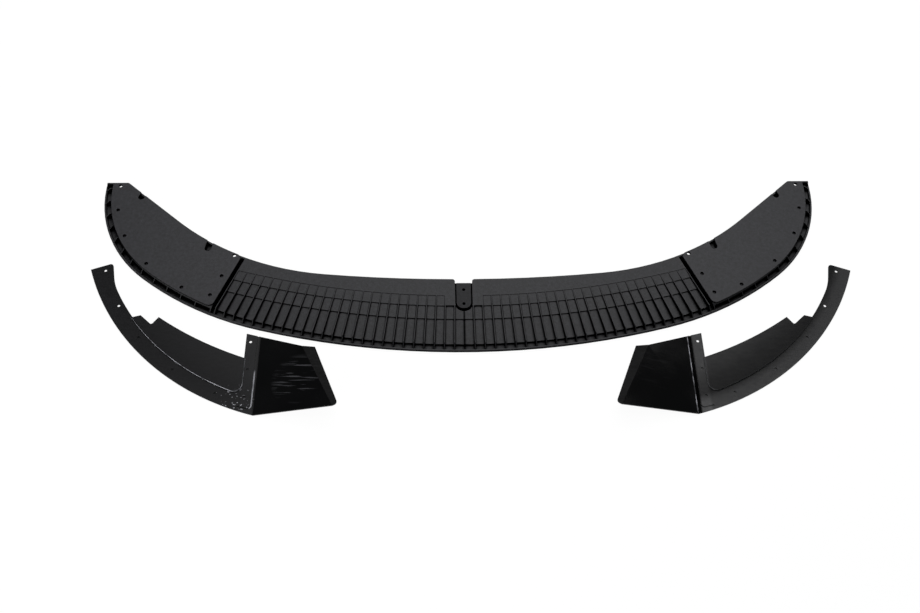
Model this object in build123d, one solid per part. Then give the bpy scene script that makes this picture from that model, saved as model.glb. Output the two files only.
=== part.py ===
"""Front splitter lip set: a ribbed centre tray with two screwed-on end plates,
and the two corner pieces that belong to its ends, laid beside it with the ribs up.

Millimetres, +Z up.  X = 0 is the tray's plane of symmetry and -Y is the front of the car.
The origin lies midway between the two bolts of the centre tongue, on the tray's underside.
"""
import os
from math import asin, cos, degrees, radians, sin, sqrt, tan

from build123d import *

# Tray plan: the front edge is three tangent arcs a side, turning back to the tip
nose_y = -146.4
nose_radius = 1905.0
nose_angle = 14.9
shoulder_radius = 794.0
shoulder_angle = 38.9
end_radius = 350.0
tip_y = 351.5

# Tray plan: the rear edge is a flat arc, a tighter sweep and a straight run to the tip
rear_y = 48.1
rear_radius = 3434.0
rear_angle = 5.7
sweep_radius = 661.0
sweep_angle = 41.0

# Tray section: a low rim along the front edge, and rib ends that slope up behind it
tray_height = 21.0
skin = 3.0
rim_height = 8.0
rim_width = 4.6
rim_bevel = 1.5
rib_slope = 11.0
tip_wall = 4.0

# Rib field: ribs fan out from a far centre over a channel and three sloping terraces.
# The channel follows the front edge; each terrace ends at an arc behind it.
cells_a_side = 25
rib_radius = 1576.0
rib_angle = 22.1
rib_thickness = 1.7
channel_end = 17.8
terrace_radius = 2000.0
terrace_lines = (83.5, 118.9, 146.8)
terrace_fronts = (9.0, 16.0, 19.0)
terrace_rears = (13.5, 17.0, 20.0)

# Ribs across the channel beside the end plate
end_rib_pitch = 42.6
end_rib = 2.0

# End plate: a flat screwed-on cover, its front edge moved in and forward from the tray's own curve
plate_margin = 15.0
plate_shift_x = 8.0
plate_shift_y = 6.0
plate_rear_margin = 0.5
plate_tip_margin = 4.0
plate_gap = 10.0
plate_height = 4.0
plate_corner = 13.0
plate_tip_corner = 3.0

# Screws of the end plate: (run along the front edge, inset), then three along the inner edge, stepped back from it
screw_hole = 9.5
edge_screws = ((1139.0, 42.0), (1051.0, 37.5), (956.0, 33.0), (839.0, 29.0), (717.0, 26.5))
inner_screw_inset = 18.0
inner_screw_steps = (26.0, 85.0, 151.0)

# Open-ended slots in the plate's rear edge, over wells in the tray
small_slot_width = 16.0
small_slot_depth = 19.0
small_slot_from_tip = 60.0
large_slot_width = 17.0
large_slot_depth = 29.0
large_slot_angle = 31.9
slot_turn = -20.0
well_floor = 11.0
slot_bolt = 9.0

# Centre pocket in the rear edge, with a tongue that holds two bolts, in a flat pad
pad_width = 92.0
pocket_width = 42.0
pocket_front = 41.0
pocket_round = 20.0
pocket_wall = 3.5
notch_depth = 8.8
notch_round = 6.5
tongue_width = 35.0
tongue_front = 32.5
tongue_round = 16.0
tongue_height = 17.0
tongue_bolt = 8.0
tongue_bolt_pitch = 40.0

# Corner piece: curved flange and leg
corner_radius = 641.5
corner_sheet = 3.0
corner_flange = 43.0
corner_tip_angle = 69.7
corner_tip_width = 55.0
corner_tip_round = 7.0
corner_flare_angle = 64.0
corner_flare_round = 150.0
leg_offset = 168.7
leg_width = 34.0
leg_length = 214.3
leg_end_slope = 8.7
leg_corner = 16.0

# Corner piece: groove beside the leg's fold, turning along the front edge
fold_groove_inset = 6.0
fold_groove_width = 3.6
fold_groove_depth = 2.0
fold_groove_front = 13.0
fold_groove_run = 34.0
fold_groove_round = 10.0

# Corner piece: raised web inside the flange, given by angle and depth from the bend
web_step = 4.0
web_start_angle = 53.0
web_end_angle = 52.2
web_end_depth = 17.5
web_notch_angle = 48.4
web_notch_depth = 23.0
web_notch_round = 4.0
web_peak_angle = 49.0
web_peak_depth = 48.0
web_middle_angle = 35.5
web_middle_depth = 73.0
web_leg_depth = 85.0

# Corner piece: sloping gloss panel with a level lip along its free edge
panel_slope = 15.0
panel_front_run = 190.0
panel_rear_run = 106.0
panel_rear_drop = 40.0
lip_front = 13.0
lip_rear = 26.0
lip_skew = 17.0
lip_corner = 9.0

# Corner piece: open screw holes and blind ones, as (angle, inset) on the flange and steps along the leg
corner_hole = 7.0
blind_depth = 2.0
open_flange_screws = ((68.3, 33.0), (57.7, 30.0))
blind_flange_screws = ((47.6, 24.0), (36.0, 20.0), (24.7, 20.5))
leg_screw_inset = 11.0
open_leg_step = 192.0
blind_leg_steps = (46.0, 117.0)

# Where the front fold corners of the two corner pieces lie beside the tray, and how far both are turned
left_corner = (-484.0, -306.7)
right_corner = (530.9, -312.3)
corner_turn = -0.55

# Overshoot of the cutting tools, and a reach past every edge of the set
over = 2.0
far = 60.0


def turned(centre, radius, angle):
    """Point at a radius and an angle, turned from -Y towards +X."""
    turn = radians(angle)
    return (centre[0] + radius * sin(turn), centre[1] - radius * cos(turn))


def arc(centre, radius, start, end):
    """Plan arc about a centre, between two turned angles."""
    points = [turned(centre, radius, angle) for angle in (start, (start + end) / 2, end)]
    return ThreePointArc(*points)


def nearest(face, point):
    """The corner of a plan face that lies nearest to a point."""
    return face.vertices().sort_by_distance(Vector(*point))[0]


def discs(places, diameter):
    """Circles at a set of centres."""
    return [Pos(*place) * Circle(diameter / 2) for place in places]


def prism(plan, low, high):
    """Solids drawn up from every face of a plan between two heights."""
    return [Pos(0, 0, low) * extrude(face, high - low) for face in plan.faces()]


def prisms(plans, low, high):
    """Solids drawn up from a set of plans."""
    return [solid for plan in plans for solid in prism(plan, low, high)]


def common(plan, other):
    """The part of a plan that lies inside another."""
    return plan - (plan - other)


# Arc centres: each next arc starts where the last one ends, along the same radius
nose_centre = (0.0, nose_y + nose_radius)
shoulder_centre = turned(nose_centre, nose_radius - shoulder_radius, nose_angle)
end_centre = turned(shoulder_centre, shoulder_radius - end_radius, shoulder_angle)
front_arcs = (
    (nose_centre, nose_radius, 0.0, nose_angle),
    (shoulder_centre, shoulder_radius, nose_angle, shoulder_angle),
    (end_centre, end_radius, shoulder_angle, 90.0),
)
rear_centre = (0.0, rear_y + rear_radius)
sweep_centre = turned(rear_centre, rear_radius - sweep_radius, rear_angle)
rib_centre = (0.0, nose_y + rib_radius)
half_width = end_centre[0] + end_radius
cut_top = tray_height + over


def along_front(run, inset):
    """Point a run along the front edge from the nose and an inset behind it, and the edge's angle there."""
    for centre, radius, start, end in front_arcs:
        angle = start + degrees(run / radius)
        if angle <= end:
            return turned(centre, radius - inset, angle), angle
        run -= radians(end - start) * radius
    return (half_width - inset, end_centre[1] + run), 90.0


def tip_inner(rear):
    """Where the straight rear run meets the tip edge, both drawn in by a margin."""
    start = turned(sweep_centre, sweep_radius + rear, sweep_angle)
    tip = tip_y - rear
    return (start[0] + (tip - start[1]) / tan(radians(sweep_angle)), tip)


def tray_outline(front, rear):
    """Plan of the tray, its front edge drawn in by one margin and its rear edge by another."""
    side = [arc(centre, radius - front, start, end) for centre, radius, start, end in front_arcs]
    sweep = arc(sweep_centre, sweep_radius + rear, rear_angle, sweep_angle)
    tip_outer = (half_width - front, tip_y - rear)
    side += [
        Line(side[-1] @ 1, tip_outer),
        Line(tip_outer, tip_inner(rear)),
        Line(tip_inner(rear), sweep @ 1),
        sweep,
        arc(rear_centre, rear_radius + rear, 0, rear_angle),
    ]
    return make_face(side + [edge.mirror(Plane.YZ) for edge in side])


def ahead_of(y):
    """Half of the plan that lies ahead of a line across the car."""
    return Pos(0, y - half_width) * Rectangle(4 * half_width, 2 * half_width)


def fan(margin):
    """Sector of the rib field, widened by a margin on both sides."""
    angle = rib_angle + degrees(margin / rib_radius)
    sides = [turned(rib_centre, 2 * rib_radius, side * angle) for side in (-1, 1)]
    return make_face(Polyline(rib_centre, *sides, close=True))


def beside_fan(gap):
    """Plan on the right-hand side of the rib field, beyond a gap."""
    place = Pos(*rib_centre) * Rot(0, 0, rib_angle) * Pos(gap + half_width, -rib_radius)
    return place * Rectangle(2 * half_width, 2 * rib_radius)


def bevelled(plan, height, inset, levels, bevel):
    """A slab whose front edges are bevelled at some of its levels."""
    slab = extrude(plan, height)
    radii = [radius - inset for centre, radius, start, end in front_arcs]
    edges = slab.edges().filter_by(GeomType.CIRCLE)
    edges = [edge for edge in edges if any(abs(edge.radius - radius) < 0.01 for radius in radii)]
    edges = [edge for edge in edges if any(abs(edge.center().Z - level) < 0.01 for level in levels)]
    return chamfer(edges, bevel)


def tray_blank():
    """Rim, rib block and tip walls of the tray, notched behind the tongue."""
    notch = Pos(0, rear_y) * Rectangle(pocket_width, 2 * notch_depth)
    plans = []
    for inset in (0, rim_width):
        plan = tray_outline(inset, 0) - notch
        corners = [nearest(plan, (side * pocket_width / 2, rear_y)) for side in (-1, 1)]
        plans.append(fillet(corners, notch_round))
    blank = bevelled(plans[0], rim_height, 0, (0, rim_height), rim_bevel)
    blank += bevelled(plans[1], tray_height, rim_width, (tray_height,), rib_slope)
    return blank + prism(tray_outline(rim_bevel, 0) - ahead_of(tip_y - tip_wall), 0, tray_height)


def behind(row, shift):
    """Plan behind the front line of a row: row 0 starts at the channel, the others at a terrace line."""
    if row == 0:
        return tray_outline(channel_end + shift, -over)
    line = terrace_lines[row - 1] + shift
    return Pos(0, nose_y + line + terrace_radius) * Circle(terrace_radius)


def terrace(row):
    """Room above one sloping terrace: a cone about the centre of the line behind it."""
    front = terrace_lines[row - 1] if row else channel_end
    run = terrace_lines[row] - front
    slope = (terrace_rears[row] - terrace_fronts[row]) / run
    outer = terrace_radius + run + far
    high = terrace_rears[row]
    low = high - slope * (run + far)
    profile = ((terrace_radius, high), (outer, low), (outer, cut_top), (terrace_radius, cut_top))
    ring = revolve(Plane.XZ * make_face(Polyline(*profile, close=True)), Axis.Z)
    ring = Pos(0, nose_y + terrace_lines[row] + terrace_radius) * ring
    plan = common(fan(0), behind(row, 0))
    if row == len(terrace_lines) - 1:
        plan -= Pos(0, rear_y) * Rectangle(pad_width, 2 * (rear_y - nose_y))
    return [solid & ring for solid in prism(plan, -far, cut_top)]


def rib_cells():
    """Room between the ribs: the channel and the terraces, with the ribs taken out."""
    plan = common(fan(0), tray_outline(rim_width, 0)) - behind(0, 0)
    field = prism(plan, skin, cut_top)
    for row in range(len(terrace_lines)):
        field += terrace(row)
    count = round(2 * cells_a_side)
    ribs = []
    for step in range(count + 1):
        turn = Rot(0, 0, rib_angle * (2 * step / count - 1))
        ribs.append(Pos(*rib_centre) * turn * Pos(0, -rib_radius) * Rectangle(rib_thickness, rib_radius))
    whole = field[0] + field[1:]
    return whole - prisms(ribs, -far, cut_top + over)


def underside_hollow():
    """Room under the terraces and the rear flange, in steps a skin below them, clear of the pocket."""
    plan = fan(-skin)
    steps = []
    for row, floor in enumerate((*terrace_fronts, tray_height)):
        steps += prism(common(plan, behind(row, skin)), -over, floor - skin)
    hollow = steps[0] + steps[1:]
    wall = pocket_plan(pocket_width + 2 * pocket_wall, pocket_front + pocket_wall, pocket_round + pocket_wall)
    return hollow - prism(wall, -far, cut_top)


def pocket_plan(width, front, corner):
    """Plan of the centre pocket or its tongue, rounded at the front."""
    face = Pos(0, (rear_y - front) / 2) * Rectangle(width, rear_y + front)
    return fillet(face.vertices().group_by(Axis.Y)[0], corner)


def slots():
    """Open-ended slots in the plate's rear edge: plan faces, and the bolt centre in the large one."""
    run = radians(sweep_angle)
    tip = tip_inner(0)
    small = (tip[0] - small_slot_from_tip * cos(run), tip[1] - small_slot_from_tip * sin(run))
    large = turned(sweep_centre, sweep_radius, large_slot_angle)
    shapes = []
    for place, angle, width, depth in (
        (small, sweep_angle, small_slot_width, small_slot_depth),
        (large, large_slot_angle, large_slot_width, large_slot_depth),
    ):
        straight = depth - width / 2
        slot = Pos(0, -straight) * Circle(width / 2)
        slot += Pos(0, (width - straight) / 2) * Rectangle(width, straight + width)
        shapes.append(Pos(*place) * Rot(0, 0, angle + slot_turn) * slot)
    bolt = turned(large, large_slot_depth - large_slot_width / 2, large_slot_angle + slot_turn)
    return shapes, bolt


def plate_front(margin):
    """Plan behind the plate's front edge, open at the rear and at the tip."""
    return Pos(-plate_shift_x, -plate_shift_y) * tray_outline(margin, -far)


def plate_plan():
    """Outline of the right-hand end plate, with its slots."""
    face = common(tray_outline(0, plate_rear_margin), plate_front(plate_margin))
    face = common(common(face, beside_fan(plate_gap)), ahead_of(tip_y - plate_tip_margin))
    across = Axis((0, 0, 0), (cos(radians(rib_angle)), sin(radians(rib_angle)), 0))
    face = fillet(face.vertices().group_by(across)[0], plate_corner)
    face = fillet(face.vertices().group_by(Axis.Y)[-1], plate_tip_corner)
    for slot in slots()[0]:
        face -= slot
    return face


def plate_screws():
    """Screw centres of the right-hand plate, from the tip round to the inner rear corner."""
    places = [along_front(run, inset)[0] for run, inset in edge_screws]
    turn = radians(rib_angle)
    shift = plate_gap + inner_screw_inset
    for step in inner_screw_steps:
        base = turned(rib_centre, rib_radius - step, rib_angle)
        places.append((base[0] + shift * cos(turn), base[1] + shift * sin(turn)))
    return places


def end_channel():
    """Channel beside the right-hand plate, crossed by ribs, and the groove along its inner edge."""
    inside = tray_outline(rim_width, tip_wall)
    channel = common(inside, beside_fan(rib_thickness / 2)) - plate_front(plate_margin - skin / 2)
    start = radians(nose_angle) * nose_radius
    ribs = []
    for step in range(round(half_width / end_rib_pitch)):
        place, angle = along_front(start + end_rib_pitch * step, 0)
        ribs.append(Pos(*place) * Rot(0, 0, angle) * Rectangle(end_rib, 2 * far))
    groove = common(inside, beside_fan(rib_thickness / 2)) - beside_fan(plate_gap)
    return prism(channel - ribs, skin, cut_top) + prism(groove, skin, cut_top)


def end_hollow():
    """Room under the right-hand plate's seat, round the wells of the slots."""
    plan = common(plate_front(plate_margin + skin), beside_fan(plate_gap + skin))
    hollow = prism(plan, -over, tray_height - skin)[0]
    wells = [offset(slot, skin) for slot in slots()[0]]
    return hollow - prisms(wells, well_floor - skin, tray_height)


def splitter_tray():
    """The ribbed moulding: blank, hollows, cells, wells, pocket and holes."""
    screws = plate_screws()
    shapes, bolt = slots()
    inside = tray_outline(0, tip_wall)
    side_tools = end_channel()
    side_tools.append(end_hollow())
    side_tools += prisms([common(slot, inside) for slot in shapes], well_floor, cut_top)
    side_tools += prisms(discs((screws[0], screws[-1]), screw_hole), -over, cut_top)
    side_tools += prisms(discs([bolt], slot_bolt), -over, cut_top)
    tools = side_tools + [tool.mirror(Plane.YZ) for tool in side_tools]
    pocket = pocket_plan(pocket_width, pocket_front, pocket_round)
    tools.append(rib_cells() - prism(pocket, -far, cut_top + over))
    tools.append(underside_hollow())
    tongue = pocket_plan(tongue_width, tongue_front, tongue_round)
    tools += prism(pocket, tongue_height, cut_top)
    tools += prism(pocket - tongue, skin, cut_top)
    bolts = [(0, -tongue_bolt_pitch / 2), (0, tongue_bolt_pitch / 2)]
    tools += prisms(discs(bolts, tongue_bolt), -over, cut_top)
    return tray_blank() - tools


def end_plate():
    """The right-hand cover, lying on the tray's flange."""
    plate = extrude(plate_plan(), plate_height)
    plate -= prisms(discs(plate_screws(), screw_hole), -over, plate_height + over)
    return Pos(0, 0, tray_height) * plate


def corner_flange_plan():
    """Curved flange and leg of the right-hand corner piece, about its arc centre."""
    centre = (0.0, 0.0)
    inner = corner_radius - corner_flange
    leg_outer = leg_offset + leg_width
    front = degrees(asin(leg_offset / corner_radius))
    bend = degrees(asin(leg_outer / inner))
    front_point = turned(centre, corner_radius, front)
    tip_outer = turned(centre, corner_radius, corner_tip_angle)
    tip_corner = turned(centre, corner_radius - corner_tip_width, corner_tip_angle)
    flare = turned(centre, inner, corner_flare_angle)
    leg_end = front_point[1] + leg_length
    face = make_face([
        arc(centre, corner_radius, front, corner_tip_angle),
        Line(tip_outer, tip_corner),
        Line(tip_corner, flare),
        arc(centre, inner, bend, corner_flare_angle),
        Line(turned(centre, inner, bend), (leg_outer, leg_end)),
        Line((leg_outer, leg_end), (leg_offset, leg_end - leg_end_slope)),
        Line((leg_offset, leg_end - leg_end_slope), front_point),
    ])
    face = fillet(nearest(face, flare), corner_flare_round)
    face = fillet(nearest(face, tip_corner), corner_tip_round)
    return fillet(nearest(face, turned(centre, inner, bend)), leg_corner)


def corner_web_plan(overlap):
    """Web inside the bend: its free edge is a flat arc, with a notch near the outer end."""
    centre = (0.0, 0.0)
    bend = corner_radius - corner_flange
    outer = bend + overlap
    leg_side = leg_offset + leg_width - overlap
    start = degrees(asin(leg_side / outer))
    peak = turned(centre, bend - web_peak_depth, web_peak_angle)
    middle = turned(centre, bend - web_middle_depth, web_middle_angle)
    leg_point = (leg_side, -sqrt((bend - web_leg_depth) ** 2 - leg_side**2))
    end_point = turned(centre, bend - web_end_depth, web_end_angle)
    notch = turned(centre, bend - web_notch_depth, web_notch_angle)
    face = make_face([
        arc(centre, outer, start, web_start_angle),
        Line(turned(centre, outer, web_start_angle), end_point),
        Line(end_point, notch),
        Line(notch, peak),
        ThreePointArc(peak, middle, leg_point),
        Line(leg_point, turned(centre, outer, start)),
    ])
    face = fillet(nearest(face, notch), web_notch_round)
    return fillet(nearest(face, turned(centre, outer, start)), leg_corner + overlap)


def fold_groove(front_y):
    """Plan of the groove beside the leg's fold, turning to run along the front edge."""
    x = leg_offset + fold_groove_inset
    corner_y = front_y + fold_groove_front
    edge = asin(leg_offset / corner_radius)
    end = (x + fold_groove_run * cos(edge), corner_y + fold_groove_run * sin(edge))
    path = FilletPolyline((x, front_y + leg_length + over), (x, corner_y), end, radius=fold_groove_round)
    return trace(path, fold_groove_width)


def corner_panel(front_y):
    """Sloping gloss panel from the leg's fold, with its level lip."""
    slope = radians(panel_slope)
    fold = Plane(
        origin=(leg_offset, front_y, corner_sheet),
        x_dir=(-cos(slope), 0, sin(slope)),
        z_dir=(sin(slope), 0, cos(slope)),
    )
    fold_length = leg_length - leg_end_slope
    front_ridge = (panel_front_run, 0)
    rear_ridge = (panel_rear_run, panel_rear_drop - fold_length)
    panel = fold * make_face(Polyline((0, 0), (0, -fold_length), rear_ridge, front_ridge, close=True))
    low = fold.from_local_coords((*rear_ridge, 0))
    ridge = fold.from_local_coords((*front_ridge, 0)) - low
    level = Vector(ridge.Y, -ridge.X, 0).normalized()
    lip_plane = Plane(origin=low, x_dir=level, z_dir=level.cross(ridge))
    outer = (lip_front, ridge.length)
    lip = make_face(Polyline((0, 0), (lip_rear, lip_skew), outer, (0, ridge.length), close=True))
    lip = lip_plane * fillet(nearest(lip, outer), lip_corner)
    sheets = [extrude(face, corner_sheet, dir=(0, 0, -1)) for face in (panel, lip)]
    return sheets[0] + sheets[1]


def corner_piece():
    """Right-hand corner piece, lying on its flange, with its front fold corner at the origin."""
    front_y = -sqrt(corner_radius**2 - leg_offset**2)
    web_top = corner_sheet + web_step
    body = extrude(corner_flange_plan(), corner_sheet)
    body += prism(corner_web_plan(corner_sheet), 0, web_top)
    body -= prism(corner_web_plan(0), -over, web_step)
    body += corner_panel(front_y)
    leg_x = leg_offset + leg_width - leg_screw_inset
    opened = [turned((0, 0), corner_radius - inset, angle) for angle, inset in open_flange_screws]
    opened.append((leg_x, front_y + open_leg_step))
    blind = [turned((0, 0), corner_radius - inset, angle) for angle, inset in blind_flange_screws]
    blind += [(leg_x, front_y + step) for step in blind_leg_steps]
    body -= prisms(discs(opened, corner_hole), -over, web_top)
    body -= prisms(discs(blind, corner_hole), corner_sheet - blind_depth, web_top)
    body -= prism(fold_groove(front_y), corner_sheet - fold_groove_depth, web_top)
    return Pos(-leg_offset, -front_y) * body


os.makedirs("parts", exist_ok=True)
plate = end_plate()
piece = corner_piece()
nodes = {
    "splitter_tray": splitter_tray(),
    "end_plate_right": plate,
    "end_plate_left": plate.mirror(Plane.YZ),
    "corner_piece_right": Pos(*right_corner) * Rot(0, 0, corner_turn) * piece,
    "corner_piece_left": Pos(*left_corner) * Rot(0, 0, corner_turn) * piece.mirror(Plane.YZ),
}
for name, shape in nodes.items():
    export_step(shape, f"parts/{name}.step")
    print(name, len(shape.solids()), "solid", round(shape.volume / 1000, 1), "cm3")
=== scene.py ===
# %% [markdown]
# # A front splitter lip, dressed for the camera
#
# This part is a set of black plastic mouldings: a wide ribbed tray, an end plate screwed on
# each of its ends, and two loose corner pieces with a gloss panel. The shapes come from the
# CAD model, so this lesson is about finishes: how grained, satin and gloss black plastic are
# told apart by roughness, fine bump and edge highlights, and hardly at all by colour.

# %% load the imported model
from math import cos, radians, sin

import bmesh
import bpy
from mathutils import Matrix, Quaternion, Vector


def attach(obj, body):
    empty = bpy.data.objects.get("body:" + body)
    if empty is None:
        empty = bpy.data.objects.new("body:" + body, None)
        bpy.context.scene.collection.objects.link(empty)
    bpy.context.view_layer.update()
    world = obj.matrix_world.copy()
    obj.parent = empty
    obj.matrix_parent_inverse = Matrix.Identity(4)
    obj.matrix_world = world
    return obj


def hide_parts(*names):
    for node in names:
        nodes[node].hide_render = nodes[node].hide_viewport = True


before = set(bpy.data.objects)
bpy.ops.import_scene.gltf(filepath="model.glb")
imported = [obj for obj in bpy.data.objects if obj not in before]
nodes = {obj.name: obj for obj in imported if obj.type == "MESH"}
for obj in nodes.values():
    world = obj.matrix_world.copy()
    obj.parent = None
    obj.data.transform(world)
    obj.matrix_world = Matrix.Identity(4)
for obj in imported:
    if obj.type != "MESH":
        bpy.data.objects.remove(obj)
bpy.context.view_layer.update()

print("nodes:", ", ".join(sorted(nodes)))

# %% [markdown]
# ## Small helpers for node materials
#
# Every finish below is a Principled BSDF fed by a few texture nodes. Object coordinates are in
# metres here, because each CAD node sits at the origin, so a noise scale of 400 means about
# four hundred blotches a metre. Writing that down once keeps the grain at its real size. A ramp
# turns the noise into greys, and gives each one the touch of blue that black plastic has.

# %% texture helpers
blue_share = 1.04


def new_finish(name, roughness, coat=0.0):
    """A material with its Principled BSDF, ready for textures."""
    material = bpy.data.materials.new(name)
    material.use_nodes = True
    shader = material.node_tree.nodes["Principled BSDF"]
    shader.inputs["Roughness"].default_value = roughness
    shader.inputs["Coat Weight"].default_value = coat
    return material, material.node_tree, shader


def add_noise(tree, scale, detail=2.0, squeeze=1.0, turn=0.0):
    """A noise texture in object space, squeezed across its turned X axis where streaks are wanted."""
    place = tree.nodes.new("ShaderNodeTexCoord")
    mapping = tree.nodes.new("ShaderNodeMapping")
    mapping.vector_type = "TEXTURE"
    mapping.inputs["Rotation"].default_value = (0, 0, radians(turn))
    mapping.inputs["Scale"].default_value = (1, 1 / squeeze, 1)
    noise = tree.nodes.new("ShaderNodeTexNoise")
    noise.inputs["Scale"].default_value = scale
    noise.inputs["Detail"].default_value = detail
    tree.links.new(place.outputs["Object"], mapping.inputs["Vector"])
    tree.links.new(mapping.outputs["Vector"], noise.inputs["Vector"])
    return noise.outputs["Fac"]


def add_ramp(tree, value, stops, grey=1.0):
    """A colour ramp over a value, from stops of (position, share of the grey)."""
    ramp = tree.nodes.new("ShaderNodeValToRGB")
    while len(ramp.color_ramp.elements) < len(stops):
        ramp.color_ramp.elements.new(0.5)
    for element, (position, share) in zip(ramp.color_ramp.elements, stops):
        element.position = position
        element.color = (grey * share, grey * share, grey * share * blue_share, 1)
    tree.links.new(value, ramp.inputs["Fac"])
    return ramp.outputs["Color"]


def add_bump(tree, shader, height, distance, strength):
    """Fine relief from a height value, in metres."""
    bump = tree.nodes.new("ShaderNodeBump")
    bump.inputs["Distance"].default_value = distance
    bump.inputs["Strength"].default_value = strength
    tree.links.new(height, bump.inputs["Height"])
    tree.links.new(bump.outputs["Normal"], shader.inputs["Normal"])


print("texture helpers ready")

# %% [markdown]
# ## Putting layers together
#
# A finish is built up in layers: grain times patches times painted shade, plus the odd pale
# speck, painted highlight or painted reflection. Each layer is a grey picture, so two blends are
# enough, one that multiplies and one that adds. The painted shade also dims the shine, because a
# corner that gets little light has little to mirror.

# %% blend helpers
def blend_colours(tree, first, second, kind):
    """Two colours put together, by the kind of blend that is named."""
    mix = tree.nodes.new("ShaderNodeMix")
    mix.data_type = "RGBA"
    mix.blend_type = kind
    mix.inputs["Factor"].default_value = 1.0
    tree.links.new(first, mix.inputs["A"])
    tree.links.new(second, mix.inputs["B"])
    return mix.outputs["Result"]


def multiply(tree, first, second):
    """Two colours multiplied together."""
    return blend_colours(tree, first, second, "MULTIPLY")


def add_up(tree, first, second):
    """Two colours added together."""
    return blend_colours(tree, first, second, "ADD")


def dim_shine(tree, shader, shade, shine):
    """Less mirrored light where the shade is dark."""
    dimmed = tree.nodes.new("ShaderNodeMath")
    dimmed.operation = "MULTIPLY"
    dimmed.inputs[1].default_value = shine
    tree.links.new(shade, dimmed.inputs[0])
    tree.links.new(dimmed.outputs["Value"], shader.inputs["Specular IOR Level"])


print("blend helpers ready")

# %% [markdown]
# ## Painted shade on walls and in corners
#
# Upright faces and the corners of the pockets get little light, and that shade is painted into
# the colour. The normal's upward part tells walls from floors, which a noise texture could not.
# An ambient occlusion node, which measures how open a spot is, paints shade at the foot of each
# rib twice: softly over a wide reach, and as a thin dark crease in the corner itself.

# %% wall and corner shade
wall_tilt, floor_tilt = 0.35, 0.85
corner_reach, corner_stops = 0.014, ((0.30, 0.12), (0.74, 1.0))
crease_shade_reach, crease_shade_stops = 0.005, ((0.52, 0.03), (0.91, 1.0))


def add_wall_shade(tree, wall_share):
    """Painted shade on faces that stand upright."""
    geometry = tree.nodes.new("ShaderNodeNewGeometry")
    parts = tree.nodes.new("ShaderNodeSeparateXYZ")
    tree.links.new(geometry.outputs["True Normal"], parts.inputs["Vector"])
    return add_ramp(tree, parts.outputs["Z"], ((wall_tilt, wall_share), (floor_tilt, 1.0)))


def add_crevice_shade(tree, reach, stops):
    """Painted shade in corners, by how open a spot is within a reach in metres."""
    crevice = tree.nodes.new("ShaderNodeAmbientOcclusion")
    crevice.inputs["Distance"].default_value = reach
    return add_ramp(tree, crevice.outputs["AO"], stops)


print("corner shade within", corner_reach, "m, seams within", crease_shade_reach, "m")

# %% [markdown]
# ## Grained moulding
#
# The tray and the plates are moulded in a tool with a spark-eroded texture: a fine, even grain
# that scatters light and turns black plastic to a soft charcoal. One noise gives the grain both
# its colour and its bump, and a coarser one makes the patches that real mouldings have. The
# tongue in the middle of the tray is darker and less shiny, so it has a finish of its own.

# %% grained finish
grain_roughness, grain_detail = 0.62, 3.0
grain_stops = ((0.30, 0.50), (0.70, 1.35))
patch_scale, patch_stops = 130.0, ((0.30, 0.55), (0.70, 1.1))
grain_depth, grain_strength = 0.0003, 0.35


def grained_plastic(name, floor_grey, wall_share, grain, shine):
    """Charcoal grain, with painted shade on walls and in corners."""
    material, tree, shader = new_finish(name, grain_roughness)
    fine = add_noise(tree, 1 / grain, grain_detail)
    broad = add_noise(tree, patch_scale, grain_detail)
    grain_colour = add_ramp(tree, fine, grain_stops, floor_grey)
    patches = add_ramp(tree, broad, patch_stops)
    corners = add_crevice_shade(tree, corner_reach, corner_stops)
    crease_shade = add_crevice_shade(tree, crease_shade_reach, crease_shade_stops)
    # painted shade on walls and in corners
    shade = multiply(tree, add_wall_shade(tree, wall_share), multiply(tree, corners, crease_shade))
    colour = multiply(tree, multiply(tree, grain_colour, patches), shade)
    tree.links.new(colour, shader.inputs["Base Color"])
    dim_shine(tree, shader, shade, shine)
    add_bump(tree, shader, fine, grain_depth, grain_strength)
    return material


tray_grain = grained_plastic("tray_grain", floor_grey=0.0155, wall_share=0.06, grain=0.0022, shine=0.47)
tongue_grain = grained_plastic("tongue_grain", floor_grey=0.010, wall_share=0.06, grain=0.0022, shine=0.30)
plate_grain = grained_plastic("plate_grain", floor_grey=0.019, wall_share=0.12, grain=0.0018, shine=0.5)
print("grained finishes:", tray_grain.name, tongue_grain.name, plate_grain.name)

# %% [markdown]
# ## Where the marks on a corner piece lie
#
# A corner piece is bent along an arc between its flange and its web, and folded along a straight
# line between its leg and its panel. Painted light, painted shade and painted highlights follow
# these two lines; they, pale specks and painted reflections can also lie round one spot. A distance
# node measures from an arc or a spot, a dot product from the fold, and a ramp turns the metres into
# a share of light. All of it is in object space, so it stays in its place from every side.

# %% bend, fold and spot
bend_radius = 0.5985
left_bend = (-0.3094, 0.3106, 0.0)
right_bend = (0.3681, 0.3082, 0.0)
fold_turn = radians(-0.55)
left_fold = (-0.4840, -0.3067)
right_fold = (0.5309, -0.3123)


def add_spread(tree, metres, start, stops):
    """A ramp over a length, from stops of (metres past the start, share of light)."""
    first, last = stops[0][0], stops[-1][0]
    spread = tree.nodes.new("ShaderNodeMapRange")
    spread.inputs["From Min"].default_value = start + first
    spread.inputs["From Max"].default_value = start + last
    tree.links.new(metres, spread.inputs["Value"])
    shares = [((reach - first) / (last - first), share) for reach, share in stops]
    return add_ramp(tree, spread.outputs["Result"], shares)


def add_bend_shade(tree, centre, stops, radius=bend_radius):
    """Shade by the distance outside an arc."""
    place = tree.nodes.new("ShaderNodeTexCoord")
    distance = tree.nodes.new("ShaderNodeVectorMath")
    distance.operation = "DISTANCE"
    distance.inputs[1].default_value = centre
    tree.links.new(place.outputs["Object"], distance.inputs[0])
    return add_spread(tree, distance.outputs["Value"], radius, stops)


def add_spot(tree, spot, stops):
    """A patch that fades with the distance from one spot."""
    return add_bend_shade(tree, spot, stops, radius=0.0)


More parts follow.
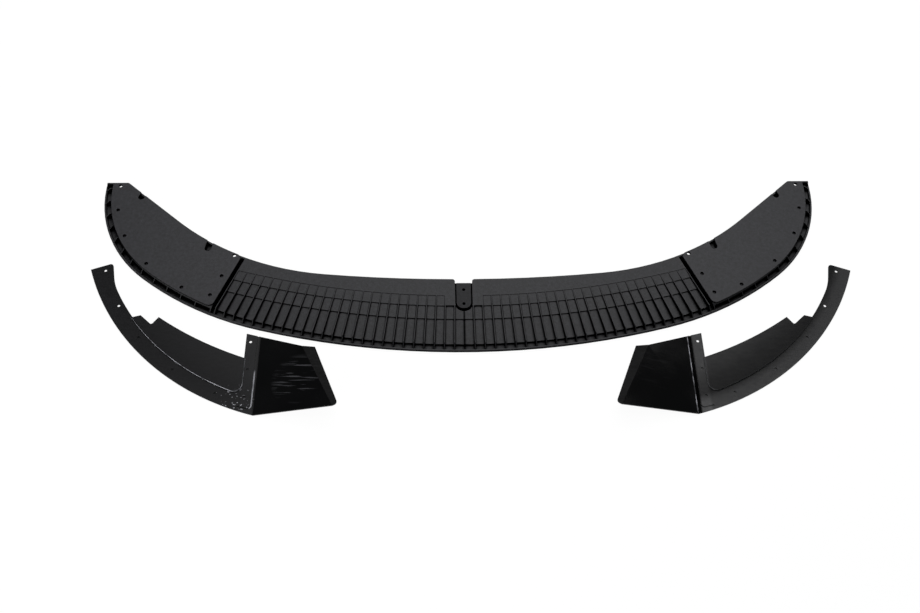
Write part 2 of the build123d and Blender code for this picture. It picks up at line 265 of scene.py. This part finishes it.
def add_fold_shade(tree, fold, stops):
    """Shade by the distance from the fold, counted towards +X."""
    place = tree.nodes.new("ShaderNodeTexCoord")
    across = tree.nodes.new("ShaderNodeVectorMath")
    across.operation = "DOT_PRODUCT"
    across.inputs[1].default_value = (cos(fold_turn), sin(fold_turn), 0.0)
    tree.links.new(place.outputs["Object"], across.inputs[0])
    start = fold[0] * cos(fold_turn) + fold[1] * sin(fold_turn)
    return add_spread(tree, across.outputs["Value"], start, stops)


print("bends round", left_bend[:2], "and", right_bend[:2], "folds at", left_fold, "and", right_fold)

# %% [markdown]
# ## Satin flange and web
#
# The flange, the web and the leg are satin black, with faint rub marks from handling. Light and
# shade are painted across the bend and the fold. On the right-hand piece the web turns softly into
# the flange, and painted shade runs across the bend; its leg has painted light, with a painted dark
# band beside the fold. The left-hand piece has fainter painted shade at its bend and beside its
# fold, and a little painted light on its leg. It also has pale specks round one spot where its leg
# meets the flange: a noise that shows only above a high value gives them.

# %% satin finish
satin_roughness = 0.45
rub_scale, rub_detail, rub_squeeze = 60.0, 5.0, 3.0
rub_stops, rub_roughness_stops = ((0.35, 0.8), (0.72, 1.5)), ((0.30, 0.36), (0.75, 0.52))
satin_grain, satin_depth, satin_strength = 420.0, 0.0002, 0.2
speck_scale, speck_detail, speck_pale = 200.0, 1.0, 0.4
speck_stops = ((0.66, 0.0), (0.72, speck_pale))
speck_patch = ((0.0, 1.0), (0.025, 0.8), (0.045, 0.0))
left_speck_spot = (-0.526, -0.272, 0.003)
# painted light and shade across the bend and beside the fold, as shares of light
left_web_stops = ((-0.06, 1.0), (0.0, 0.85), (0.043, 1.0))
left_leg_stops = ((-0.034, 1.0), (-0.030, 1.1), (-0.004, 1.1), (0.0, 0.6))
right_web_stops = ((-0.075, 0.62), (-0.03, 0.38), (0.0, 0.30), (0.02, 0.85), (0.043, 1.0))
right_leg_stops = ((0.0, 0.05), (0.007, 0.05), (0.011, 1.6), (0.030, 1.6), (0.036, 1.0))


def satin_plastic(name, grey, shine, bend, web_stops, fold, leg_stops, speck_spot=None):
    """Satin black with rub marks, painted light and shade across bend and fold, and pale specks by a spot.
    """
    material, tree, shader = new_finish(name, satin_roughness)
    rubs = add_noise(tree, rub_scale, rub_detail, rub_squeeze)
    web_shade = add_bend_shade(tree, bend, web_stops)
    shade = multiply(tree, web_shade, add_fold_shade(tree, fold, leg_stops))
    colour = multiply(tree, add_ramp(tree, rubs, rub_stops, grey), shade)
    if speck_spot:
        specks = add_ramp(tree, add_noise(tree, speck_scale, speck_detail), speck_stops)
        pale_specks = multiply(tree, specks, add_spot(tree, speck_spot, speck_patch))
        colour = add_up(tree, colour, pale_specks)
    tree.links.new(colour, shader.inputs["Base Color"])
    dim_shine(tree, shader, shade, shine)
    tree.links.new(add_ramp(tree, rubs, rub_roughness_stops), shader.inputs["Roughness"])
    add_bump(tree, shader, add_noise(tree, satin_grain), satin_depth, satin_strength)
    return material


left_satin = satin_plastic(
    "left_satin", grey=0.006, shine=0.16, bend=left_bend, web_stops=left_web_stops,
    fold=left_fold, leg_stops=left_leg_stops, speck_spot=left_speck_spot,
)
right_satin = satin_plastic(
    "right_satin", grey=0.007, shine=0.34, bend=right_bend, web_stops=right_web_stops,
    fold=right_fold, leg_stops=right_leg_stops,
)
print("satin finishes:", left_satin.name, right_satin.name)

# %% [markdown]
# ## Lips and steps
#
# The level lip along a panel's free edge is dull. On the right-hand piece the step beside the web
# has painted light: a dull mid grey that lifts it out of its shade, so that it sinks into the soft
# bend. On the left-hand piece the step has a painted highlight in patches, and so has the groove
# beside the leg, but only within a reach of one spot. Each of them has faces of its own, so a
# second finish is simpler than painting it into the satin.

# %% lip and step finishes
lip_stops = ((0.35, 0.6), (0.72, 2.0))
step_roughness, step_shine = 0.3, 0.16
step_scale, step_detail, step_stops = 45.0, 4.0, ((0.34, 0.3), (0.52, 1.0))
steady_share, faded_share = 0.8, 0.01
web_step_spot, web_step_reach = (-0.60, -0.10, 0.0), 0.60
groove_spot, groove_highlight_reach = (-0.490, -0.248, 0.001), 0.060


def dull_plastic(name, grey, shine):
    """Dull black or grey with rub marks."""
    material, tree, shader = new_finish(name, satin_roughness)
    shader.inputs["Specular IOR Level"].default_value = shine
    rubs = add_noise(tree, rub_scale, rub_detail, rub_squeeze)
    tree.links.new(add_ramp(tree, rubs, lip_stops, grey), shader.inputs["Base Color"])
    return material


def highlight_plastic(name, grey, spot, reach):
    """Plastic with a painted highlight in patches, within a reach of one spot."""
    material, tree, shader = new_finish(name, step_roughness)
    shader.inputs["Specular IOR Level"].default_value = step_shine
    rubs = add_ramp(tree, add_noise(tree, step_scale, step_detail), step_stops, grey)
    near = add_spot(tree, spot, ((0.0, 1.0), (reach * steady_share, 1.0), (reach, faded_share)))
    tree.links.new(multiply(tree, rubs, near), shader.inputs["Base Color"])
    return material


lip_satin = dull_plastic("lip_satin", grey=0.004, shine=0.06)
# painted light: a mid grey that lifts the step beside the right-hand web out of its shade
right_step_light = dull_plastic("right_step_light", grey=0.11, shine=0.2)
# painted highlights on the left-hand step and in the groove beside its leg
bend_highlight = highlight_plastic("bend_highlight", grey=0.85, spot=web_step_spot, reach=web_step_reach)
groove_highlight = highlight_plastic("groove_highlight", grey=0.36, spot=groove_spot, reach=groove_highlight_reach)
print("lip and step finishes:", lip_satin.name, right_step_light.name, bend_highlight.name, groove_highlight.name)

# %% [markdown]
# ## Gloss panel
#
# The sloping panel is the part that shows on the car, so it is polished: low roughness, a thin
# clear coat and a very dark base. A broad noise makes the polish a little uneven. Short streaks of
# painted reflection lie round one spot, faint on the right-hand one; they are a noise squeezed to a
# thirteenth across their run. The right-hand panel also has a thin painted highlight along its
# fold.

# %% gloss finish
gloss_roughness, gloss_coat, coat_roughness, gloss_shine = 0.12, 0.1, 0.05, 0.2
sheen_scale, sheen_stops = 9.0, ((0.40, 1.0), (0.80, 2.0))
sheen_roughness_stops = ((0.40, 0.10), (0.80, 0.28))
streak_scale, streak_detail, streak_squeeze, streak_turn = 16.0, 1.0, 13.0, -8.7
streak_from, streak_full = 0.56, 0.66
streak_patch = ((0.0, 1.0), (0.035, 0.8), (0.065, 0.0))
left_reflection_spot, left_streak = (-0.386, -0.228, 0.028), 0.05
right_reflection_spot, right_streak = (0.440, -0.200, 0.025), 0.004
fold_highlight_scale, fold_highlight_detail, fold_highlight_stops = 34.0, 3.0, ((0.42, 0.12), (0.60, 1.0))
fold_line = ((-0.0028, 0.0), (-0.0012, 0.55), (0.0004, 0.0))


def gloss_plastic(name, grey, spot, streak, highlight_fold=None):
    """Polished black with painted reflections round one spot, and a painted highlight along a given fold.
    """
    material, tree, shader = new_finish(name, gloss_roughness, gloss_coat)
    shader.inputs["Coat Roughness"].default_value = coat_roughness
    shader.inputs["Specular IOR Level"].default_value = gloss_shine
    streaks = add_noise(tree, streak_scale, streak_detail, streak_squeeze, streak_turn)
    # painted reflection: short pale streaks round one spot
    painted_streaks = add_ramp(tree, streaks, ((streak_from, 0.0), (streak_full, streak)))
    marks = multiply(tree, painted_streaks, add_spot(tree, spot, streak_patch))
    # painted highlight: a thin pale line along the fold, broken by a noise
    if highlight_fold:
        highlight_breaks = add_ramp(tree, add_noise(tree, fold_highlight_scale, fold_highlight_detail), fold_highlight_stops)
        marks = add_up(tree, marks, multiply(tree, highlight_breaks, add_fold_shade(tree, highlight_fold, fold_line)))
    sheen = add_noise(tree, sheen_scale)
    black = add_ramp(tree, sheen, sheen_stops, grey)
    tree.links.new(add_up(tree, black, marks), shader.inputs["Base Color"])
    tree.links.new(add_ramp(tree, sheen, sheen_roughness_stops), shader.inputs["Roughness"])
    return material


left_gloss = gloss_plastic("left_gloss", grey=0.0009, spot=left_reflection_spot, streak=left_streak)
right_gloss = gloss_plastic(
    "right_gloss", grey=0.0008, spot=right_reflection_spot, streak=right_streak, highlight_fold=right_fold
)
print("gloss finishes:", left_gloss.name, right_gloss.name)

# %% [markdown]
# ## Polished edges
#
# The rounded edges of the corner pieces are rubbed bright by handling and catch the strip lamp. On
# the right-hand piece their grey is paler, a painted highlight for the thin light rim along them. A
# bevel can give its new faces a finish of their own, so this one is made apart: smoother than the
# satin beside it, under a full clear coat.

# %% edge finish
edge_roughness, edge_coat, edge_coat_roughness = 0.16, 1.0, 0.08
wear_scale, wear_detail, wear_stops = 90.0, 3.0, ((0.40, 1.0), (0.70, 3.0))


def polished_edge(name, grey):
    """A rounded edge, rubbed bright."""
    material, tree, shader = new_finish(name, edge_roughness, edge_coat)
    shader.inputs["Coat Roughness"].default_value = edge_coat_roughness
    wear = add_noise(tree, wear_scale, wear_detail)
    tree.links.new(add_ramp(tree, wear, wear_stops, grey), shader.inputs["Base Color"])
    return material


left_edge = polished_edge("left_edge", grey=0.010)
# painted highlight: a paler grey for the light rim along the right-hand edges
right_edge = polished_edge("right_edge", grey=0.030)
print("edge finishes:", left_edge.name, right_edge.name)

# %% [markdown]
# ## Dressing the tray and the plates
#
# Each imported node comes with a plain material. It is taken off, and the new finishes go on in the
# order in which the faces number them. The plates are one finish all over. The tray has a second
# one, for its tongue.

# %% dress the tray and the plates
def dress(node, *finishes):
    """Replace a node's packed materials."""
    node.data.materials.clear()
    for finish in finishes:
        node.data.materials.append(finish)


dress(nodes["splitter_tray"], tray_grain, tongue_grain)
dress(nodes["end_plate_left"], plate_grain)
dress(nodes["end_plate_right"], plate_grain)
print("dressed the tray and both plates")

# %% [markdown]
# ## Dressing the corner pieces
#
# A corner piece is one moulding with several finishes. Faces beyond the fold line belong to the
# panel, upright ones above the flange to the step, and a low level strip beside the leg to the
# groove. A face's centre and normal tell which it is. Only the number of its finish is set: the
# CAD mesh itself stays as it was packed.

# %% dress the corner pieces
satin_slot, gloss_slot, edge_slot, lip_slot, step_slot, groove_slot = range(6)
left_side, right_side = 1, -1
fold_margin = 0.0005
level_tilt, upright_tilt, forward_tilt = 0.99, 0.3, 0.05
step_foot = 0.0035
groove_floor, groove_width, floor_margin = 0.0010, 0.011, 0.0001


def corner_slot(face, across, side):
    """The finish number of a face, given its distance across the fold towards +X."""
    upright = abs(face.normal.z) < upright_tilt
    if across * side > fold_margin:
        return lip_slot if abs(face.normal.z) > level_tilt else gloss_slot
    if upright and face.normal.y < forward_tilt and face.center.z > step_foot:
        return step_slot
    on_floor = face.normal.z > level_tilt and abs(face.center.z - groove_floor) < floor_margin
    if side == left_side and across > -groove_width and on_floor:
        return groove_slot
    return satin_slot


def number_faces(piece, fold, side):
    """Set the finish numbers of a corner piece, and count the faces of its panel."""
    panel_faces = 0
    for face in piece.data.polygons:
        across = (face.center.x - fold[0]) * cos(fold_turn) + (face.center.y - fold[1]) * sin(fold_turn)
        face.material_index = corner_slot(face, across, side)
        panel_faces += face.material_index in (gloss_slot, lip_slot)
    return panel_faces


dress(nodes["corner_piece_left"], left_satin, left_gloss, left_edge, lip_satin, bend_highlight, groove_highlight)
dress(nodes["corner_piece_right"], right_satin, right_gloss, right_edge, lip_satin, right_step_light)
left_panel_faces = number_faces(nodes["corner_piece_left"], left_fold, left_side)
right_panel_faces = number_faces(nodes["corner_piece_right"], right_fold, right_side)
print("panel faces:", left_panel_faces, "left,", right_panel_faces, "right")

# %% [markdown]
# ## The tray's own mesh
#
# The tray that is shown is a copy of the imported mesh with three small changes, made in its left
# half. A thin wall closes the rear end of the slit beside the tongue. The top corner of the tip
# wall leans in, so that it doesn't stand out past the curve. The top of the tongue takes its
# darker finish.

# %% mesh of the shown tray
slit_end = Vector((-0.01925, 0.0383, 0.0095))
slit_size = Vector((0.0037, 0.0020, 0.0130))
tip_x, tip_y, tip_foot, tip_lean = -0.9085, 0.347, 0.0085, 0.0040
tongue_half, tongue_front, tongue_rear = 0.0176, -0.034, 0.041
tongue_top, top_margin, top_tilt = 0.017, 0.0002, 0.9
tongue_slot = 1

tray_mesh = nodes["splitter_tray"].data.copy()
shell = bmesh.new()
shell.from_mesh(tray_mesh)
bmesh.ops.create_cube(shell, size=1.0, matrix=Matrix.LocRotScale(slit_end, None, slit_size))
shell.to_mesh(tray_mesh)
shell.free()
for vertex in tray_mesh.vertices:
    if vertex.co.x < tip_x and vertex.co.y > tip_y and vertex.co.z > tip_foot:
        vertex.co.x += tip_lean
for face in tray_mesh.polygons:
    on_tongue = abs(face.center.x) < tongue_half and tongue_front < face.center.y < tongue_rear
    on_top = face.normal.z > top_tilt and abs(face.center.z - tongue_top) < top_margin
    if on_tongue and on_top:
        face.material_index = tongue_slot
print("faces of the tray:", len(tray_mesh.polygons))

# %% [markdown]
# ## The tray, mirrored about its middle
#
# The tray is alike on both sides of the car's middle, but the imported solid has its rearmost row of
# shallow cells in the left half only. The tray that is shown is therefore that left half and its
# mirror image: a mirror modifier cuts the mesh along X = 0 and doubles it.

# %% mirrored tray
ribbed_tray = bpy.data.objects.new("ribbed_tray", tray_mesh)
bpy.context.scene.collection.objects.link(ribbed_tray)
halves = ribbed_tray.modifiers.new("both_halves", "MIRROR")
halves.use_axis[0] = True
halves.use_bisect_axis[0] = True
halves.use_bisect_flip_axis[0] = True
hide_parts("splitter_tray")
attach(ribbed_tray, "root")
print("tray mirrored:", ribbed_tray.name)

# %% [markdown]
# ## Rounded edges
#
# No moulding has a knife edge. A thin line of light along each edge is what makes black plastic
# readable, so a bevel modifier rounds the sharp edges of the plates and the corner pieces by a
# millimetre or less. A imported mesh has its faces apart, each with its own corners, so a weld
# modifier joins them first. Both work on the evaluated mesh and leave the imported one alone.

# %% bevel the edges
weld_gap = 0.00002
sharp_angle = radians(35)
plate_round, plate_segments = 0.0007, 2
corner_round, corner_segments = 0.0010, 5
same_finish = -1


def round_edges(piece, width, segments, edge_finish):
    """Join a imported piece's faces and round its sharp edges."""
    weld = piece.modifiers.new("joined_faces", "WELD")
    weld.merge_threshold = weld_gap
    bevel = piece.modifiers.new("soft_edges", "BEVEL")
    bevel.width = width
    bevel.segments = segments
    bevel.limit_method = "ANGLE"
    bevel.angle_limit = sharp_angle
    bevel.material = edge_finish


for hand in ("left", "right"):
    round_edges(nodes[f"end_plate_{hand}"], plate_round, plate_segments, same_finish)
    round_edges(nodes[f"corner_piece_{hand}"], corner_round, corner_segments, edge_slot)
    print("edges rounded on the", hand, "plate and corner piece")

# %% [markdown]
# ## Floor
#
# The set lies on a white sweep. The floor is a pale diffuse sheet that also glows to the camera
# and to reflections, so that it reads as white while it keeps a faint shadow. A light path node
# tells those rays from the light that bounces about, which meets the plain sheet.

# %% floor
floor_size, floor_drop = 60, 0.0005
sheet_colour = (0.9, 0.9, 0.9, 1)
glow_share, glow_strength = 0.93, 1.03


def add_math(tree, operation, first):
    """A math node with its first value linked."""
    math_node = tree.nodes.new("ShaderNodeMath")
    math_node.operation = operation
    tree.links.new(first, math_node.inputs[0])
    return math_node


def white_paper(name):
    """A matt white sheet that glows to the camera and to reflections."""
    paper, tree, sheet = new_finish(name, 1.0)
    sheet.inputs["Base Color"].default_value = sheet_colour
    sheet.inputs["Specular IOR Level"].default_value = 0.0
    glow = tree.nodes.new("ShaderNodeEmission")
    glow.inputs["Strength"].default_value = glow_strength
    rays = tree.nodes.new("ShaderNodeLightPath").outputs
    through = add_math(tree, "MAXIMUM", rays["Is Glossy Ray"])
    tree.links.new(rays["Is Transmission Ray"], through.inputs[1])
    seen = add_math(tree, "MAXIMUM", rays["Is Camera Ray"])
    tree.links.new(through.outputs["Value"], seen.inputs[1])
    share = add_math(tree, "MULTIPLY", seen.outputs["Value"])
    share.inputs[1].default_value = glow_share
    blend = tree.nodes.new("ShaderNodeMixShader")
    tree.links.new(share.outputs["Value"], blend.inputs["Fac"])
    tree.links.new(sheet.outputs["BSDF"], blend.inputs[1])
    tree.links.new(glow.outputs["Emission"], blend.inputs[2])
    tree.links.new(blend.outputs["Shader"], tree.nodes["Material Output"].inputs["Surface"])
    return paper


bpy.ops.mesh.primitive_plane_add(size=floor_size, location=(0, 0, -floor_drop))
floor = bpy.context.object
floor.name = "floor"
floor.data.materials.append(white_paper("white_sweep"))
print("floor size:", tuple(round(v, 2) for v in floor.dimensions))

# %% [markdown]
# ## Light
#
# One large softbox behind and above the set is mirrored by every level face, which lifts the
# grain; walls and the sloping panels look past it and stay black. A weaker box overhead fills the
# pockets, and a small strip at the front left draws a line along the rounded edges.

# %% lights
room_colour, room_strength = (0.92, 0.95, 1, 1), 0.12


def softbox(name, place, aim, size, power):
    """A rectangular area light turned towards a point."""
    light = bpy.data.lights.new(name, "AREA")
    light.shape = "RECTANGLE"
    light.size, light.size_y = size
    light.energy = power
    lamp = bpy.data.objects.new(name, light)
    lamp.location = place
    lamp.rotation_mode = "QUATERNION"
    lamp.rotation_quaternion = (Vector(aim) - Vector(place)).to_track_quat("-Z", "Y")
    bpy.context.scene.collection.objects.link(lamp)
    return lamp


lamps = [
    softbox("rear_softbox", place=(0.35, 1.7, 2.5), aim=(0, 0.1, 0), size=(3.6, 2.2), power=62),
    softbox("top_softbox", place=(0, -0.2, 3.2), aim=(0, 0, 0), size=(2.0, 1.0), power=25),
    softbox("front_strip", place=(-2.5, -1.6, 0.8), aim=(-0.5, -0.2, 0), size=(0.7, 0.3), power=26),
]
world = bpy.data.worlds.new("studio")
world.use_nodes = True
room = world.node_tree.nodes["Background"]
room.inputs["Color"].default_value = room_colour
room.inputs["Strength"].default_value = room_strength
bpy.context.scene.world = world
bpy.context.scene.view_settings.view_transform = "Standard"
print("lamps:", [lamp.name for lamp in lamps])

# %% [markdown]
# ## The camera
#
# The camera's place was fitted to the picture from both edges of the tray and the holes of the
# plates. It stands in front of the set, high up and a little to the left, and leans by about two
# degrees. With the aim point, the lean and the lens the view is complete.

# %% camera
camera_place = Vector((-0.0785, -1.3660, 2.1354))
aim_point = Vector((-0.0092, -0.0176, 0.0))
lean = radians(2.15)
lens = bpy.data.cameras.new("camera")
lens.sensor_width = 36
lens.lens = 40.8
camera = bpy.data.objects.new("camera", lens)
camera.location = camera_place
camera.rotation_mode = "QUATERNION"
level_view = (aim_point - camera_place).to_track_quat("-Z", "Y")
camera.rotation_quaternion = level_view @ Quaternion((0, 0, 1), lean)
bpy.context.scene.collection.objects.link(camera)
bpy.context.scene.camera = camera
right = camera.rotation_quaternion @ Vector((1, 0, 0))
print("camera right:", [round(v, 4) for v in right])
